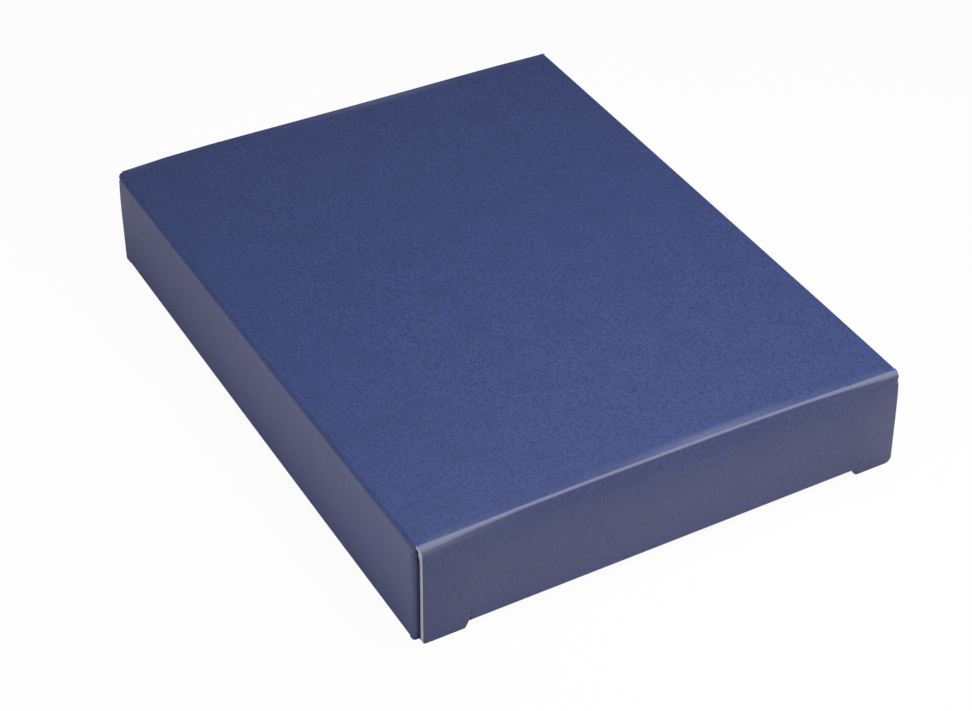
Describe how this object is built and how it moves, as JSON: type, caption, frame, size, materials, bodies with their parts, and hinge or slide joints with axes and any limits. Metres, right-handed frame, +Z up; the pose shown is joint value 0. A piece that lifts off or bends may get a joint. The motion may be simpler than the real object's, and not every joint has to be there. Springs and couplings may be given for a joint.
{
  "type": "tuck-end presentation box",
  "caption": "Flat corrugated-board carton, dark blue outside; each short end opens on a panel that folds down from the top and tucks in over the bottom, behind it folding dust flaps.",
  "frame": {"origin": "centre of the base, on the surface that the box stands on", "axes": "+Z up, +Y along the long sides towards the back end, +X towards the side with the glue flap"},
  "size_m": [0.226, 0.293, 0.0485],
  "materials": {
    "printed_board": "satin",
    "adhesive": "satin"
  },
  "bodies": {
    "sleeve": {"top_panel": "printed_board", "bottom_panel": "printed_board", "left_side_panel": "printed_board", "right_side_panel": "printed_board", "top_left_crease": "printed_board", "top_right_crease": "printed_board", "bottom_left_crease": "printed_board", "glue_flap_crease": "printed_board", "glue_flap": "printed_board", "glue_line": "adhesive", "front_closure_crease": "printed_board", "front_left_dust_crease": "printed_board", "front_right_dust_crease": "printed_board", "back_closure_crease": "printed_board", "back_left_dust_crease": "printed_board", "back_right_dust_crease": "printed_board"},
    "front_closure": {"front_closure_panel": "printed_board", "front_tuck_crease": "printed_board"},
    "front_tuck": {"front_tuck_flap": "printed_board"},
    "front_left_dust": {"front_left_dust_flap": "printed_board"},
    "front_right_dust": {"front_right_dust_flap": "printed_board"},
    "back_closure": {"back_closure_panel": "printed_board", "back_tuck_crease": "printed_board"},
    "back_tuck": {"back_tuck_flap": "printed_board"},
    "back_left_dust": {"back_left_dust_flap": "printed_board"},
    "back_right_dust": {"back_right_dust_flap": "printed_board"}
  },
  "joints": [
    {"name": "front_closure_hinge", "type": "hinge", "parent": "sleeve", "child": "front_closure", "pos_m": [0, -0.1451, 0.0471], "axis": [-1, 0, 0], "range_deg": [0, 110]},
    {"name": "front_tuck_hinge", "type": "hinge", "parent": "front_closure", "child": "front_tuck", "pos_m": [0, -0.1437, 0.0059], "axis": [1, 0, 0], "range_deg": [0, 45]},
    {"name": "front_left_dust_hinge", "type": "hinge", "parent": "sleeve", "child": "front_left_dust", "pos_m": [-0.1102, -0.1406, 0.02425], "axis": [0, 0, 1], "range_deg": [0, 87]},
    {"name": "front_right_dust_hinge", "type": "hinge", "parent": "sleeve", "child": "front_right_dust", "pos_m": [0.1102, -0.1406, 0.02425], "axis": [0, 0, -1], "range_deg": [0, 78]},
    {"name": "back_closure_hinge", "type": "hinge", "parent": "sleeve", "child": "back_closure", "pos_m": [0, 0.1451, 0.0471], "axis": [1, 0, 0], "range_deg": [0, 110]},
    {"name": "back_tuck_hinge", "type": "hinge", "parent": "back_closure", "child": "back_tuck", "pos_m": [0, 0.1437, 0.0059], "axis": [-1, 0, 0], "range_deg": [0, 45]},
    {"name": "back_left_dust_hinge", "type": "hinge", "parent": "sleeve", "child": "back_left_dust", "pos_m": [-0.1102, 0.1406, 0.02425], "axis": [0, 0, -1], "range_deg": [0, 87]},
    {"name": "back_right_dust_hinge", "type": "hinge", "parent": "sleeve", "child": "back_right_dust", "pos_m": [0.1102, 0.1406, 0.02425], "axis": [0, 0, 1], "range_deg": [0, 78]}
  ],
  "couplings": [
    {"joint": "front_tuck_hinge", "follows": "front_closure_hinge", "ratio": 0.4},
    {"joint": "back_tuck_hinge", "follows": "back_closure_hinge", "ratio": 0.4}
  ]
}
